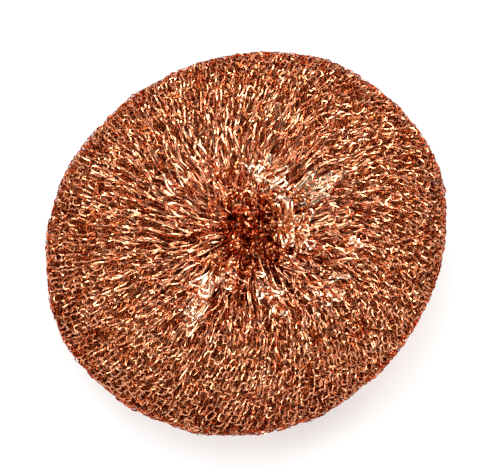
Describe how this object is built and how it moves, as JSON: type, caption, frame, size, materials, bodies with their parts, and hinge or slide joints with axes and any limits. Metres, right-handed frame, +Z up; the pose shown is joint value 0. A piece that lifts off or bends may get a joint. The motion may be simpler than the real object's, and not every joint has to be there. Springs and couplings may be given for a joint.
{
  "type": "pot scrubber",
  "caption": "Round cushion of knitted flat copper wire, rolled turn over turn and drawn into a pit in the middle of each face.",
  "frame": {"origin": "on the surface that the scrubber rests on, under its middle", "axes": "+Z up through both pits, square to the round face"},
  "size_m": [0.086, 0.086, 0.0361],
  "materials": {
    "copper_knit": "bright flat copper wire, knitted",
    "copper_knit_inner": "copper wire in the depth of the roll",
    "copper_ruffle": "bright flat copper wire, loose loops",
    "copper_band": "flat copper wire"
  },
  "bodies": {
    "root": {"outer_turn": "copper_knit", "second_turn": "copper_knit_inner", "third_turn": "copper_knit_inner", "fourth_turn": "copper_knit_inner", "rolled_start": "copper_knit_inner", "upper_ruffle": "copper_ruffle", "lower_ruffle": "copper_ruffle", "gathered_neck": "copper_knit_inner", "neck_band": "copper_band"}
  },
  "joints": []
}
